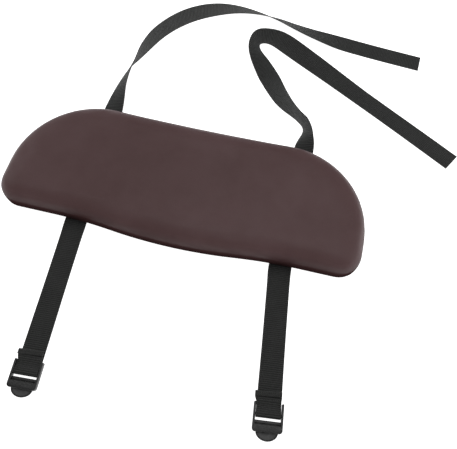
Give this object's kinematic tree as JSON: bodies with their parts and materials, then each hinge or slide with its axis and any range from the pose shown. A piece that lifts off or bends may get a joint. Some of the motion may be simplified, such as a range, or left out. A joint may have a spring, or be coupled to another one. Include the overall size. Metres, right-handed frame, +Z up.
{
  "type": "arm rest pad",
  "caption": "Kidney-shaped upholstered arm rest pad on webbing straps, with ladder-lock buckles on the near side and free strap tails on the far side.",
  "frame": {"origin": "middle of the pad's underside, on the dust cover's lower face", "axes": "+X along the pad, -Y from the pad towards the buckles, +Z up out of the pad's padded face"},
  "size_m": [0.7989, 0.8734, 0.05],
  "materials": {
    "cover": "smooth dark brown leatherette with a faint sheen",
    "foam": null,
    "board": "raw plywood",
    "dust_cover": "thin non-woven cloth",
    "steel": "zinc-plated steel",
    "webbing": "ribbed black woven webbing",
    "thread": "black bonded thread",
    "lock_plastic": "moulded black acetal, satin"
  },
  "bodies": {
    "pad": {"board": "board", "foam_base": "foam", "foam_top": "foam", "cover": "cover", "dust_cover": "dust_cover", "cover_staples": "steel", "dust_cover_staples": "steel", "strap_screws": "steel", "strap_washers": "steel", "left_strap_underside": "webbing", "right_strap_underside": "webbing", "left_tail": "webbing", "right_tail": "webbing"},
    "left_strap": {"left_strap_front": "webbing", "left_strap_loop": "webbing", "left_strap_stitching": "thread"},
    "left_lock": {"left_ladder_lock": "lock_plastic"},
    "right_strap": {"right_strap_front": "webbing", "right_strap_loop": "webbing", "right_strap_stitching": "thread"},
    "right_lock": {"right_ladder_lock": "lock_plastic"}
  },
  "joints": [
    {"name": "left_strap_swing", "type": "hinge", "parent": "pad", "child": "left_strap", "pos_m": [-0.17608, -0.11087, -0.0008], "axis": [-0.9978, -0.0663, 0], "range_deg": [-90, 90]},
    {"name": "left_lock_swing", "type": "hinge", "parent": "left_strap", "child": "left_lock", "pos_m": [-0.15901, -0.3678, 0.0025], "axis": [-0.9978, -0.0663, 0], "range_deg": [-80, 80]},
    {"name": "right_strap_swing", "type": "hinge", "parent": "pad", "child": "right_strap", "pos_m": [0.1905, -0.111, -0.0008], "axis": [-0.9936, -0.1132, 0], "range_deg": [-90, 90]},
    {"name": "right_lock_swing", "type": "hinge", "parent": "right_strap", "child": "right_lock", "pos_m": [0.21693, -0.343, 0.0025], "axis": [-0.9936, -0.1132, 0], "range_deg": [-80, 80]}
  ]
}
